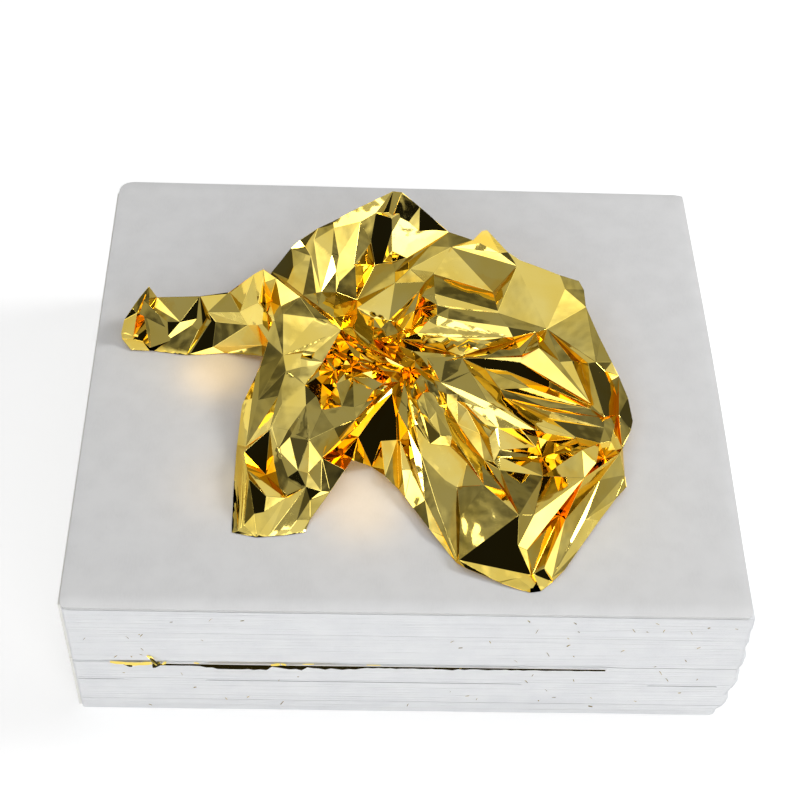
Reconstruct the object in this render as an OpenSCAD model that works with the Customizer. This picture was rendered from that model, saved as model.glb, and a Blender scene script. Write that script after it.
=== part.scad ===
// Pack of gold leaf booklets with one crumpled leaf lying on the top page.
// Millimetres, +Z up, origin at the middle of the base, spine edge on the left (-X).

/* [Pages] */
// Width of a page, from the spine edge to the fore edge
page_w = 164; // [120:1:220]
// Depth of a page, from the front edge to the back edge
page_d = 144; // [100:1:200]
// Radius of the trimmed corner at the back of the spine edge
page_corner_r = 4; // [1:0.5:12]
// Page sections in each booklet, each a thin bundle of tissue
sections = 8; // [3:1:10]

/* [Booklets] */
// Thickness of booklet 1, the top one, with its turning pages
booklet_1_t = 9.6; // [6:0.1:14]
// Thickness of booklet 2
booklet_2_t = 7.8; // [4:0.1:14]
// Thickness of booklet 3
booklet_3_t = 7.4; // [4:0.1:14]
// Thickness of booklet 4
booklet_4_t = 8.6; // [4:0.1:14]
// Thickness of booklet 5
booklet_5_t = 9.4; // [4:0.1:14]
// Thickness of booklet 6, the bottom one
booklet_6_t = 4.9; // [3:0.1:14]
// Open gap between booklets 3 and 4, where a leaf has slipped forward
open_gap = 0.3; // [0.15:0.05:0.8]
// How far each lower page steps back at the fore edge within one booklet
fore_edge_step = 0.9; // [0:0.1:2]
// Largest unevenness of the trimmed edges
trim_play = 0.25; // [0:0.05:0.6]

/* [Spine] */
// Thickness of the glue skin along the spine
glue_t = 0.8; // [0.4:0.1:2]
// Bare length left at the front end of the glue skin
glue_end = 1; // [0.5:0.5:6]

/* [Turning pages] */
// Thickness of one turning page
sheet_t = 0.3; // [0.2:0.05:0.5]
// Distance of a turning page from its fold line at the spine
fold_gap = 0.5; // [0.3:0.1:2]

/* [Leaves] */
// Side of a square leaf
leaf_side = 140; // [60:1:160]
// Thickness that stands for a leaf
leaf_t = 0.04; // [0.03:0.01:0.1]
// Margin between a leaf and the fore edge
leaf_margin = 4; // [3.5:0.5:8]
// How far the slipped leaf has slid towards the front, past the others
leaf_slip = 2; // [0:0.5:2]

/* [Crumpled leaf] */
// Thickness that stands for the crumpled leaf
crumple_t = 0.6; // [0.4:0.1:1.5]
// Clearance between the crumpled leaf and the page it lies on
crumple_seat = 0.3; // [0.2:0.05:0.5]
// Height of the gathered middle above the page
knot_h = 11; // [6:1:20]

/* [Hidden] */

paper_white = [0.93, 0.93, 0.92];
glue_white = [0.88, 0.88, 0.84];
leaf_gold = [0.83, 0.66, 0.22];

booklets = 6;
turning_pages = 3;
booklet_t = [booklet_1_t, booklet_2_t, booklet_3_t, booklet_4_t, booklet_5_t, booklet_6_t];
// Distance of each booklet's fore edge from the line of the top page
booklet_set_back = [0, 1.2, 0.4, 1.0, 0.4, 1.6];
// The gap lies under this booklet
gap_below = 3;
trim_seed = 7;

function sum(list, from, to) = from > to ? 0 : list[from] + sum(list, from + 1, to);

// Heights count booklets from 1 at the top to 6 at the base
function booklet_bottom(i) = sum(booklet_t, i, booklets - 1) + (i <= gap_below ? open_gap : 0);
turning_stack_t = turning_pages * (sheet_t + leaf_t);
function block_t(i) = booklet_t[i - 1] - (i == 1 ? turning_stack_t : 0);
block_top = booklet_bottom(1) + block_t(1);
page_top = block_top + turning_stack_t;

function section_t(i) = (block_t(i) - (sections - 1) * leaf_t) / sections;
function section_z(i, j) = booklet_bottom(i) + j * (section_t(i) + leaf_t);

// Unevenness of the fore, front and back edges, the same on every build
trims = rands(0, trim_play, booklets * sections * 3, trim_seed);
function trim(i, j, edge) = trims[((i - 1) * sections + j) * 3 + edge];

spine_x = -page_w / 2;
fore_x = page_w / 2;
front_y = -page_d / 2;
back_y = page_d / 2;

// Sections lower in a booklet step back along a curve
function step_back(i, j) =
  booklet_set_back[i - 1] + fore_edge_step * pow((sections - 1 - j) / (sections - 1), 2);

// Outline of a page whose back corner at the spine is rounded
module page_outline(left, right, front, back, corner_r) {
  difference() {
    translate([left, front]) square([right - left, back - front]);
    translate([left, back])
      difference() {
        translate([-1, -corner_r]) square([corner_r + 1, corner_r + 1]);
        translate([corner_r, -corner_r]) circle(r = corner_r, $fn = 48);
      }
  }
}

module page_section(i, j) {
  translate([0, 0, section_z(i, j)])
    linear_extrude(section_t(i))
      page_outline(
        spine_x + glue_t, fore_x - step_back(i, j) - trim(i, j, 0),
        front_y + trim(i, j, 1), back_y - trim(i, j, 2), page_corner_r);
}

// The set back of a booklet's fore edge leaves its leaves inside
module flat_leaf(z, slip = 0) {
  translate([fore_x - leaf_margin - leaf_side, -leaf_side / 2 - slip, z])
    cube([leaf_side, leaf_side, leaf_t]);
}

module booklet_pages(i) {
  color(paper_white)
    for (j = [0 : sections - 1]) page_section(i, j);
}

module booklet_leaves(i) {
  color(leaf_gold)
    for (j = [1 : sections - 1]) flat_leaf(section_z(i, j) - leaf_t);
}

module booklet_spine_glue(i) {
  color(glue_white)
    translate([spine_x, front_y + glue_end, booklet_bottom(i)])
      cube([glue_t, page_d - glue_end - page_corner_r, block_t(i)]);
}

// Turning page 1 is the top one, and leaf k lies under page k
function turning_z(k) = block_top + leaf_t + (turning_pages - k) * (sheet_t + leaf_t);

module turning_page(k) {
  color(paper_white)
    translate([0, 0, turning_z(k)])
      linear_extrude(sheet_t)
        page_outline(spine_x + fold_gap, fore_x, front_y, back_y, page_corner_r);
}

module leaf_under_page(k) {
  color(leaf_gold) flat_leaf(turning_z(k) - leaf_t);
}

module slipped_leaf() {
  color(leaf_gold) flat_leaf(booklet_bottom(gap_below) - open_gap, leaf_slip);
}

// The crumpled leaf is gathered at one point, and its folds run out from there.
// Each fold has its outer end on the leaf's edge, that end's height above the page,
// and the fold's own height halfway in.
knot = [0, -8];
folds = [
  [-37, -4, 8, 13], [-43, 3, 1, 9], [-58, 6, 0, 4], [-67, 8, 0, 3], [-73, 10, 3, 3], [-71, 15, 9, 5],
  [-67, 19, 12, 8], [-55, 18, 9, 8], [-44, 15, 14, 13], [-38, 13, 26, 20], [-35, 22, 14, 12],
  [-31, 33, 13, 9], [-23, 39, 17, 14], [-20, 42, 15, 9], [-12, 46, 18, 14], [-3, 49, 20, 11],
  [4, 44, 18, 15], [11, 37, 17, 10], [20, 33, 15, 14], [29, 30, 15, 9], [38, 27, 13, 13],
  [46, 25, 11, 9], [48, 16, 9, 13], [52, 5, 7, 8], [55, -4, 6, 12], [57, -11, 5, 7],
  [58, -17, 3, 12], [55, -27, 5, 8], [55, -36, 1, 12], [47, -47, 3, 8], [40, -56, 0, 12],
  [34, -64, 2, 7], [29, -66, 0, 12], [20, -63, 1, 8], [11, -58, 0, 13], [6, -50, 2, 8],
  [-2, -39, 4, 13], [-9, -34, 7, 9], [-14, -34, 6, 12], [-19, -40, 3, 9], [-25, -50, 0, 13],
  [-30, -51, 2, 9], [-36, -52, 0, 14], [-42, -51, 0, 9], [-43, -38, 1, 14], [-44, -25, 2, 10],
  [-41, -14, 6, 15],
];
fold_rings = [0.28, 0.62, 1];
fold_count = len(folds);
ring_count = len(fold_rings);

// The fold's height at a share of its length: knot, then the fold, then the edge
function fold_h(fold, share) =
  share < 0.5
    ? knot_h + (fold[3] - knot_h) * share / 0.5
    : fold[3] + (fold[2] - fold[3]) * (share - 0.5) / 0.5;
function fold_point(fold, share) = [
  knot[0] + (fold[0] - knot[0]) * share,
  knot[1] + (fold[1] - knot[1]) * share,
  fold_h(fold, share),
];
crumple_under = concat(
  [[knot[0], knot[1], knot_h]],
  [for (share = fold_rings) for (fold = folds) fold_point(fold, share)]);
crumple_over = [for (p = crumple_under) p + [0, 0, crumple_t]];
under_count = len(crumple_under);

function ring_index(ring, n) = 1 + ring * fold_count + n % fold_count;
knot_faces = [for (n = [0 : fold_count - 1]) [0, ring_index(0, n), ring_index(0, n + 1)]];
fold_faces = [
  for (ring = [0 : ring_count - 2]) for (n = [0 : fold_count - 1])
    for (face = [
      [ring_index(ring, n), ring_index(ring + 1, n), ring_index(ring + 1, n + 1)],
      [ring_index(ring, n), ring_index(ring + 1, n + 1), ring_index(ring, n + 1)]]) face];
under_faces = concat(knot_faces, fold_faces);
over_faces = [for (f = under_faces) [f[2] + under_count, f[1] + under_count, f[0] + under_count]];
edge_faces = [
  for (n = [0 : fold_count - 1])
    let (a = ring_index(ring_count - 1, n), b = ring_index(ring_count - 1, n + 1))
      for (face = [[a, a + under_count, b + under_count], [a, b + under_count, b]]) face];

module loose_crumpled_leaf() {
  color(leaf_gold)
    translate([0, 0, page_top + crumple_seat])
      polyhedron(concat(crumple_under, crumple_over), concat(under_faces, over_faces, edge_faces));
}

loose_crumpled_leaf();
for (k = [1 : turning_pages]) {
  turning_page(k);
  leaf_under_page(k);
}
for (i = [1 : booklets]) {
  booklet_pages(i);
  booklet_leaves(i);
  booklet_spine_glue(i);
}
slipped_leaf();
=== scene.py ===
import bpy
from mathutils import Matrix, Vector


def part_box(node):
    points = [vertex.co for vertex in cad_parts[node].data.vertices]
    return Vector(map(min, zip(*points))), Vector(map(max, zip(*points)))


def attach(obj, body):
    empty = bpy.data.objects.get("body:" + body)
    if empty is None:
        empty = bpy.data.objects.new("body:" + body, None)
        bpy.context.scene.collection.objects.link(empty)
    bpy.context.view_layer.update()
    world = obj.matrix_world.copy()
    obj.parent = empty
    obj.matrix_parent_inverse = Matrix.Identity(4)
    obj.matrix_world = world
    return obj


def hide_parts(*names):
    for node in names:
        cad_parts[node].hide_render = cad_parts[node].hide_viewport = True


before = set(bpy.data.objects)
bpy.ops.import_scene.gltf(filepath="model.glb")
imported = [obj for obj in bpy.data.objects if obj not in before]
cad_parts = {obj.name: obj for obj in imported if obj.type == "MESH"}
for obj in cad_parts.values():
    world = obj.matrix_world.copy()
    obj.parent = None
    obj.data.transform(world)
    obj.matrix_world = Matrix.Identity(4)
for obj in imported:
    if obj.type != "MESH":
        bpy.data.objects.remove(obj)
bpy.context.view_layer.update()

import math
import random

import bmesh
import bpy
from mathutils import Matrix, Vector, noise
from mathutils.bvhtree import BVHTree
from mathutils.geometry import delaunay_2d_cdt, intersect_line_line_2d

MM = 0.001
BOOKLETS = 6
SECTIONS = 8
TURNING_PAGES = 3
PAGE_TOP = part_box("turning_page_1")[1][2]
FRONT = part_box("turning_page_1")[0][1]
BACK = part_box("turning_page_1")[1][1]
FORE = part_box("turning_page_1")[1][0]
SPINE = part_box("booklet_1_spine_glue")[0][0]
CORNER_RADIUS = 4 * MM

# The camera, found from the six corners of the pack that the photograph shows
PICTURE_SIDE = 800
FOCAL_LENGTH_PIXELS = 1640.3
SENSOR_MM = 36
CAMERA_PLACE = Vector((-16.7, -278.9, 375.2)) * MM
CAMERA_YAW = math.radians(3.212)
CAMERA_DIP = math.radians(50.328)
CAMERA_ROLL = math.radians(3.586)
CAMERA_CLIP = 10 * MM


def direction(azimuth, elevation):
    """Azimuth 0 is behind the object, 90 to its right."""
    turn, rise = math.radians(azimuth), math.radians(elevation)
    return Vector((math.sin(turn) * math.cos(rise), math.cos(turn) * math.cos(rise), math.sin(rise)))


def new_object(name, data):
    made = bpy.data.objects.new(name, data)
    bpy.context.scene.collection.objects.link(made)
    return made


def new_mesh(name, bm):
    mesh = bpy.data.meshes.new(name)
    bm.to_mesh(mesh)
    bm.free()
    return mesh


def camera_axes():
    """The camera's right, up and forward directions."""
    forward = Vector((
        math.sin(CAMERA_YAW) * math.cos(CAMERA_DIP),
        math.cos(CAMERA_YAW) * math.cos(CAMERA_DIP),
        -math.sin(CAMERA_DIP),
    ))
    level = Vector((math.cos(CAMERA_YAW), -math.sin(CAMERA_YAW), 0))
    above = level.cross(forward)
    right = level * math.cos(CAMERA_ROLL) + above * math.sin(CAMERA_ROLL)
    up = above * math.cos(CAMERA_ROLL) - level * math.sin(CAMERA_ROLL)
    return right, up, forward


def add_camera():
    right, up, forward = camera_axes()
    lens = bpy.data.cameras.new("photo_camera")
    lens.sensor_width = SENSOR_MM
    lens.lens = SENSOR_MM * FOCAL_LENGTH_PIXELS / PICTURE_SIDE
    lens.clip_start = CAMERA_CLIP
    camera = new_object("photo_camera", lens)
    turn = Matrix((right, up, -forward)).transposed().to_4x4()
    camera.matrix_world = Matrix.Translation(CAMERA_PLACE) @ turn
    bpy.context.scene.camera = camera


def above_page(column, row, height_mm):
    """The point at that height above the top page which the photograph shows at that column and row."""
    right, up, forward = camera_axes()
    middle = PICTURE_SIDE / 2
    across = (column - middle) / FOCAL_LENGTH_PIXELS
    down = (row - middle) / FOCAL_LENGTH_PIXELS
    ray = forward + right * across - up * down
    distance = (PAGE_TOP + height_mm * MM - CAMERA_PLACE.z) / ray.z
    return CAMERA_PLACE + ray * distance


# Nodes of a material


def add_node(tree, kind, **values):
    """A shader node. A value is a setting, an input's number or the socket that feeds that input."""
    made = tree.nodes.new(kind)
    for name, value in values.items():
        label = name.replace("_", " ")
        if hasattr(made, name) and not label.title() in made.inputs:
            setattr(made, name, value)
            continue
        socket = made.inputs[label] if label in made.inputs else made.inputs[label.title()]
        if isinstance(value, bpy.types.NodeSocket):
            tree.links.new(value, socket)
        else:
            socket.default_value = value
    return made


def new_material(name, roughness, metallic=0.0, specular=0.5):
    material = bpy.data.materials.new(name)
    material.use_nodes = True
    shader = material.node_tree.nodes["Principled BSDF"]
    shader.inputs["Roughness"].default_value = roughness
    shader.inputs["Metallic"].default_value = metallic
    shader.inputs["Specular IOR Level"].default_value = specular
    return material, material.node_tree, shader


def noise_texture(tree, scale, detail=2.0, stretch=(1, 1, 1)):
    """Noise on the piece's own coordinates. scale counts waves in a metre."""
    place = add_node(tree, "ShaderNodeTexCoord")
    mapping = add_node(tree, "ShaderNodeMapping", Vector=place.outputs["Object"], Scale=stretch)
    made = add_node(tree, "ShaderNodeTexNoise", Vector=mapping.outputs["Vector"], Scale=scale, Detail=detail)
    return made.outputs["Fac"]


def blend_colours(tree, factor, first, second):
    mix = tree.nodes.new("ShaderNodeMix")
    mix.data_type = "RGBA"
    tree.links.new(factor, mix.inputs["Factor"])
    for socket, colour in ((mix.inputs[6], first), (mix.inputs[7], second)):
        if isinstance(colour, bpy.types.NodeSocket):
            tree.links.new(colour, socket)
        else:
            socket.default_value = (*colour, 1)
    return mix.outputs[2]


def blend_values(tree, factor, first, second):
    """The second value is a plain number."""
    mix = tree.nodes.new("ShaderNodeMix")
    mix.data_type = "FLOAT"
    tree.links.new(factor, mix.inputs["Factor"])
    tree.links.new(first, mix.inputs[2])
    mix.inputs[3].default_value = second
    return mix.outputs[0]


def spread(tree, value, low, high, to_low=0.0, to_high=1.0):
    """Maps low to high onto to_low to to_high, and holds the ends."""
    made = add_node(tree, "ShaderNodeMapRange", Value=value)
    made.inputs["From Min"].default_value = low
    made.inputs["From Max"].default_value = high
    made.inputs["To Min"].default_value = to_low
    made.inputs["To Max"].default_value = to_high
    return made.outputs["Result"]


def bump(tree, height, strength, depth, under=None):
    made = add_node(tree, "ShaderNodeBump", Height=height, Strength=strength, Distance=depth)
    if under is not None:
        tree.links.new(under, made.inputs["Normal"])
    return made.outputs["Normal"]


# Finishes


def tissue(name, light, shade):
    """White tissue: faint clouds of thicker pulp, short fibres and a soft matt surface."""
    material, tree, shader = new_material(name, roughness=0.85, specular=0.25)
    clouds = noise_texture(tree, scale=160, detail=3)
    fibres = noise_texture(tree, scale=2600, detail=2, stretch=(1, 0.22, 1))
    cloud_share = spread(tree, clouds, low=0.35, high=0.65)
    fibre_share = spread(tree, fibres, low=0.3, high=0.7, to_high=0.5)
    cloudy = blend_colours(tree, cloud_share, shade, light)
    colour = blend_colours(tree, fibre_share, cloudy, light)
    tree.links.new(colour, shader.inputs["Base Color"])
    ripple = bump(tree, clouds, strength=0.35, depth=0.12 * MM)
    grain = bump(tree, fibres, strength=0.3, depth=0.02 * MM, under=ripple)
    tree.links.new(grain, shader.inputs["Normal"])
    return material


GLUE_SHADE = (0.80, 0.79, 0.74)
GLUE_LIGHT = (0.86, 0.855, 0.82)


def dried_glue():
    """Padding glue brushed on the spine: off-white, half glossy, with brush ridges and thin spots."""
    material, tree, shader = new_material("dried_glue", roughness=0.4)
    brushed = noise_texture(tree, scale=700, detail=3, stretch=(1, 0.12, 1))
    spots = noise_texture(tree, scale=220, detail=3)
    share = spread(tree, spots, low=0.35, high=0.65)
    colour = blend_colours(tree, share, GLUE_SHADE, GLUE_LIGHT)
    tree.links.new(colour, shader.inputs["Base Color"])
    gloss = spread(tree, spots, low=0.3, high=0.7, to_low=0.3, to_high=0.6)
    tree.links.new(gloss, shader.inputs["Roughness"])
    ridges = bump(tree, brushed, strength=0.6, depth=0.08 * MM)
    tree.links.new(ridges, shader.inputs["Normal"])
    return material


LEAF_GOLD = (0.95, 0.76, 0.21)
LEAF_DEEP_GOLD = (0.93, 0.70, 0.14)
# Painted reflection: the deep orange that light bounced between close folds would give, laid into the gold's
# colour
PAINTED_FOLD_REFLECTION_GOLD = (0.95, 0.59, 0.06)
LEAF_DUST = (0.16, 0.10, 0.04)
LEAF_EDGE_TINT = (1.0, 0.82, 0.45)
# The closeness at which the painted fold reflection begins to deepen the gold, and at which it is deepest
PAINTED_REFLECTION_CLOSENESS = (0.08, 0.5)
# Depth of the dents as a share of the waves'
DENT_SHARE = 0.035


def leaf_metal(name, roughness, waviness, paint_fold_reflection=False, worn=0.0):
    """Beaten metal leaf: a mirror with faint waves, pinpoint dents and a slightly uneven tone.

    Where leaf lies close above, a folded leaf is painted a deeper, more orange gold: a painted reflection of
    light bounced between its folds. worn is the share of brown dust on it.
    """
    material, tree, shader = new_material(name, roughness=roughness, metallic=1.0)
    tone = noise_texture(tree, scale=90, detail=2)
    waves = noise_texture(tree, scale=240, detail=1)
    dents = noise_texture(tree, scale=1500, detail=3)
    share = spread(tree, tone, low=0.35, high=0.65)
    colour = blend_colours(tree, share, LEAF_DEEP_GOLD, LEAF_GOLD)
    if paint_fold_reflection:
        # Painted reflection: where leaf lies close above, the gold is tinted deep orange in place of light
        # bounced between the folds
        painted_reflection_closeness = add_node(tree, "ShaderNodeAttribute", attribute_name="painted_reflection_closeness")
        depth = spread(tree, painted_reflection_closeness.outputs["Fac"], *PAINTED_REFLECTION_CLOSENESS)
        colour = blend_colours(tree, depth, colour, PAINTED_FOLD_REFLECTION_GOLD)
    if worn:
        dust = spread(tree, dents, low=0.35, high=0.6, to_low=0.5 + worn, to_high=worn)
        colour = blend_colours(tree, dust, colour, LEAF_DUST)
    tree.links.new(colour, shader.inputs["Base Color"])
    shader.inputs["Specular Tint"].default_value = (*LEAF_EDGE_TINT, 1)
    soft = bump(tree, waves, strength=1.0, depth=waviness)
    fine = bump(tree, dents, strength=1.0, depth=waviness * DENT_SHARE, under=soft)
    tree.links.new(fine, shader.inputs["Normal"])
    return material


# Making a piece


def new_piece(name, bm, material, body, smooth=True):
    """A piece at the origin, with its place in its mesh, that rides on a body."""
    for face in bm.faces:
        face.smooth = smooth
    piece = new_object(name, new_mesh(name, bm))
    piece.data.materials.append(material)
    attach(piece, body)
    return piece


def verts_of(made):
    return [item for item in made["geom"] if isinstance(item, bmesh.types.BMVert)]


# Page blocks

LEAF_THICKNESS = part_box("slipped_leaf")[1][2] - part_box("slipped_leaf")[0][2]
BLOCK_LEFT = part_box("booklet_1_pages")[0][0]
BLOCK_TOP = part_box("booklet_1_pages")[1][2]
LAYER = 0.23 * MM
LAYER_SPREAD = (0.7, 1.3)
LAYER_GAP = 0.003 * MM
LONG_SIDE = 0.1
EDGE_CUTS = 56
TRIMMED_CORNER = 0.8 * MM
CORNER_SEGMENTS = 6
# How far a page may be trimmed short or stand out, from and to, in mm
FRONT_TRIM = (0.0, 0.045)
FORE_TRIM = (-0.25, 0.25)
BACK_TRIM = (0.0, 0.15)
# How far one edge wanders along a page
FRONT_WANDER = 0.04 * MM
FORE_WANDER = 0.35 * MM
BACK_WANDER = 0.1 * MM
# How those fade in towards an edge: steepness and start
LONG_SIDE_FADE = (6, 4.2)
FORE_EDGE_FADE = (8, 7)
# How far the fore edge stands out from the top page's line at each height, in mm
FORE_BULGES = (
    (0, -1.2), (3, -0.6), (5, 0.9), (8, 1.3), (11, 0.3), (14, 1.5), (17, 1.9), (20, 1.6), (23, 1.0),
    (26, 1.7), (29, 1.5), (32, 0.7), (36, 1.1), (39, 0.5), (43, 0.7), (46, 0.3), (48, 0),
)
# How the soft top pages hang down at their rim: how far in, how far down, and the share at each edge
DROOP_LENGTH = 3.2 * MM
DROOP = 0.95 * MM
FRONT_DROOP = 1.0
BACK_DROOP = 0.35
FORE_DROOP = 0.55
SPINE_DROOP = 0.3
# The open gap and the line below it: x from and to, and how deep the edge is set back there, all in mm
GAP_STRETCHES = (
    (-82, -72, 0.5), (-72, -58, 1.2), (-58, -48, 0.5), (-48, -17, 2.2), (-17, 30, 1.1), (30, 50, 0.35),
)
SECOND_LINE_STRETCHES = ((-80, -70, 1.2), (-48, 27, 1.6), (64, 77, 1.8))
STRETCH_END = 2.5 * MM
# The booklet, whether its top or its base is set back, the stretches, and the share at the next page in
SET_BACKS = (
    (3, "base", GAP_STRETCHES, 0.6), (4, "top", GAP_STRETCHES, 0.5), (4, "base", SECOND_LINE_STRETCHES, 0.4),
)
LOWEST_LINE_BOOKLET = 5
LOWEST_LINE_DEPTH = 0.25 * MM


def page_blank():
    """One page a metre thick, with rounded corners and its long edges cut into short lengths."""
    bm = bmesh.new()
    bmesh.ops.create_grid(bm, x_segments=1, y_segments=1, size=1)
    for vert in bm.verts:
        vert.co.x = FORE if vert.co.x > 0 else BLOCK_LEFT
        vert.co.y = BACK if vert.co.y > 0 else FRONT
    for vert in list(bm.verts):
        at_back_of_spine = vert.co.x < 0 and vert.co.y > 0
        radius = CORNER_RADIUS if at_back_of_spine else TRIMMED_CORNER
        bmesh.ops.bevel(bm, geom=[vert], offset=radius, affect="VERTICES",
                        segments=CORNER_SEGMENTS, profile=0.5, material=-1)
    long_edges = [edge for edge in bm.edges if edge.calc_length() > LONG_SIDE]
    bmesh.ops.subdivide_edges(bm, edges=long_edges, cuts=EDGE_CUTS)
    made = bmesh.ops.extrude_face_region(bm, geom=bm.faces[:])
    bmesh.ops.translate(bm, verts=verts_of(made), vec=(0, 0, 1))
    bmesh.ops.recalc_face_normals(bm, faces=bm.faces[:])
    return new_mesh("page_blank", bm)


def between(table, value):
    """The value of a table of (place, amount) pairs, joined by straight lines."""
    for (place, amount), (next_place, next_amount) in zip(table, table[1:]):
        if value <= next_place:
            share = max(0.0, (value - place) / (next_place - place))
            return amount + (next_amount - amount) * share
    return table[-1][1]


def stretch_depth(stretches, x):
    """The set back at x, with soft ends."""
    depth = 0.0
    for start, end, most in stretches:
        rise = min(x - start * MM, end * MM - x) / STRETCH_END
        depth = max(depth, most * MM * min(1.0, max(0.0, rise + 0.5)))
    return depth


def droop_at(x, y):
    """How far the soft top pages hang down near their edges."""
    down = 0.0
    for inside, share in (
        (y - FRONT, FRONT_DROOP), (BACK - y, BACK_DROOP), (FORE - x, FORE_DROOP), (x - SPINE, SPINE_DROOP),
    ):
        reach = max(0.0, 1 - max(0.0, inside) / DROOP_LENGTH)
        down += DROOP * share * reach * reach
    return down


def draw_in(depth, share):
    """How far a page at that depth under the block's top is set back to carry the hanging edges."""
    hang = DROOP * share
    if depth >= hang:
        return 0.0
    return DROOP_LENGTH * (1 - math.sqrt(depth / hang))


def layer_heights(low, high, rng):
    """Bottoms and tops of the layers of one section, none of them quite alike."""
    count = max(2, round((high - low) / LAYER))
    shares = [rng.uniform(*LAYER_SPREAD) for _ in range(count)]
    unit = (high - low) / sum(shares)
    levels = []
    for share in shares:
        levels.append((low, low + unit * share - LAYER_GAP))
        low += unit * share
    return levels


def near_edge(distance, fade):
    """0 on the inner part of a page, rising to 1 at the edge."""
    steepness, start = fade
    return min(1.0, max(0.0, distance / FORE * steepness - start))


def set_layer(verts, low, high, booklet, from_top, from_base, rng):
    """Gives a page blank its height, its uneven trim, and its set back at an open gap."""
    top_depth = BLOCK_TOP - high if booklet == 1 else 1
    front_trim = rng.uniform(*FRONT_TRIM) * MM
    fore_trim = rng.uniform(*FORE_TRIM) * MM
    back_trim = rng.uniform(*BACK_TRIM) * MM
    seed = rng.uniform(0, 90)
    bulge = between(FORE_BULGES, low / MM) * MM
    for vert in verts:
        x, y = vert.co.x, vert.co.y
        wave = noise.noise(Vector((x * 30, seed, low * 300)))
        fore_wave = noise.noise(Vector((y * 24, seed, low * 120)))
        front = front_trim + FRONT_WANDER * (1 + wave) + draw_in(top_depth, FRONT_DROOP)
        for owner, side, stretches, next_share in SET_BACKS:
            level = from_top if side == "top" else from_base
            if booklet == owner and level < 2:
                front += stretch_depth(stretches, x) * (1 if level == 0 else next_share)
        if booklet == LOWEST_LINE_BOOKLET and from_base == 0:
            front += LOWEST_LINE_DEPTH
        back = back_trim + BACK_WANDER * (1 + wave) + draw_in(top_depth, BACK_DROOP)
        fore = fore_trim + FORE_WANDER * fore_wave + draw_in(top_depth, FORE_DROOP) - bulge
        vert.co.x = x - fore * near_edge(x, FORE_EDGE_FADE)
        vert.co.y = y + front * near_edge(-y, LONG_SIDE_FADE) - back * near_edge(y, LONG_SIDE_FADE)
        vert.co.z = high if vert.co.z > 0.5 else low


def add_page_block(booklet, blank, material):
    """All pages of one booklet as a block of fine layers, with a hair's gap where each leaf lies."""
    rng = random.Random(40 + booklet)
    low, high = (corner[2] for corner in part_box(f"booklet_{booklet}_pages"))
    section = (high - low - (SECTIONS - 1) * LEAF_THICKNESS) / SECTIONS
    levels = []
    for index in range(SECTIONS):
        base = low + index * (section + LEAF_THICKNESS)
        levels += layer_heights(base, base + section, rng)
    bm = bmesh.new()
    for index, (layer_low, layer_high) in enumerate(levels):
        before = len(bm.verts)
        bm.from_mesh(blank)
        bm.verts.ensure_lookup_table()
        set_layer(bm.verts[before:], layer_low, layer_high, booklet, len(levels) - 1 - index, index, rng)
    name = f"booklet_{booklet}_page_block"
    block = new_piece(name, bm, material, f"booklet_{booklet}", smooth=False)
    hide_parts(f"booklet_{booklet}_pages")


# Turning pages and the leaves under them

SHEET_THICKNESS = 0.1 * MM
SHEET_CUTS = 72
# Near its edges a page is thicker, which closes the gap that the thick CAD leaf leaves between two pages
EDGE_THICKENING = 0.19 * MM
EDGE_REACH = 6 * MM
PAGE_STEP = 0.03 * MM
PAGE_BOW = 0.45 * MM
BOW_SPREAD = 2.2
# The two waves that all top pages share: waves in a metre, depth in mm
SLOW_WAVE = (22, 0.08)
QUICK_WAVE = (90, 0.02)


def page_wave(x, y):
    """The gentle unevenness that all the top pages share."""
    slow = 1 + noise.noise(Vector((x * SLOW_WAVE[0], y * SLOW_WAVE[0], 5.0)))
    quick = 1 + noise.noise(Vector((x * QUICK_WAVE[0], y * QUICK_WAVE[0], 9.0)))
    return (SLOW_WAVE[1] * slow + QUICK_WAVE[1] * quick) * MM


def round_corner(vert, middle, radius, x_side, y_side):
    """Pulls a point that lies outside a rounded corner onto its arc."""
    offset = Vector((vert.co.x - middle[0], vert.co.y - middle[1]))
    if offset.x * x_side > 0 and offset.y * y_side > 0 and offset.length > radius:
        offset = offset.normalized() * radius
        vert.co.x = middle[0] + offset.x
        vert.co.y = middle[1] + offset.y


def flat_sheet(low, high, cuts):
    bm = bmesh.new()
    bmesh.ops.create_grid(bm, x_segments=cuts, y_segments=cuts, size=0.5)
    for vert in bm.verts:
        vert.co.x = low[0] + (vert.co.x + 0.5) * (high[0] - low[0])
        vert.co.y = low[1] + (vert.co.y + 0.5) * (high[1] - low[1])
    return bm


def thicken(bm, thickness):
    """Gives a sheet its thickness above it."""
    made = bmesh.ops.extrude_face_region(bm, geom=bm.faces[:])
    bmesh.ops.translate(bm, verts=verts_of(made), vec=(0, 0, thickness))
    bmesh.ops.recalc_face_normals(bm, faces=bm.faces[:])


def lay_sheet(node):
    """Hides the node whose place a sheet takes."""
    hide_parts(node)


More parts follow.
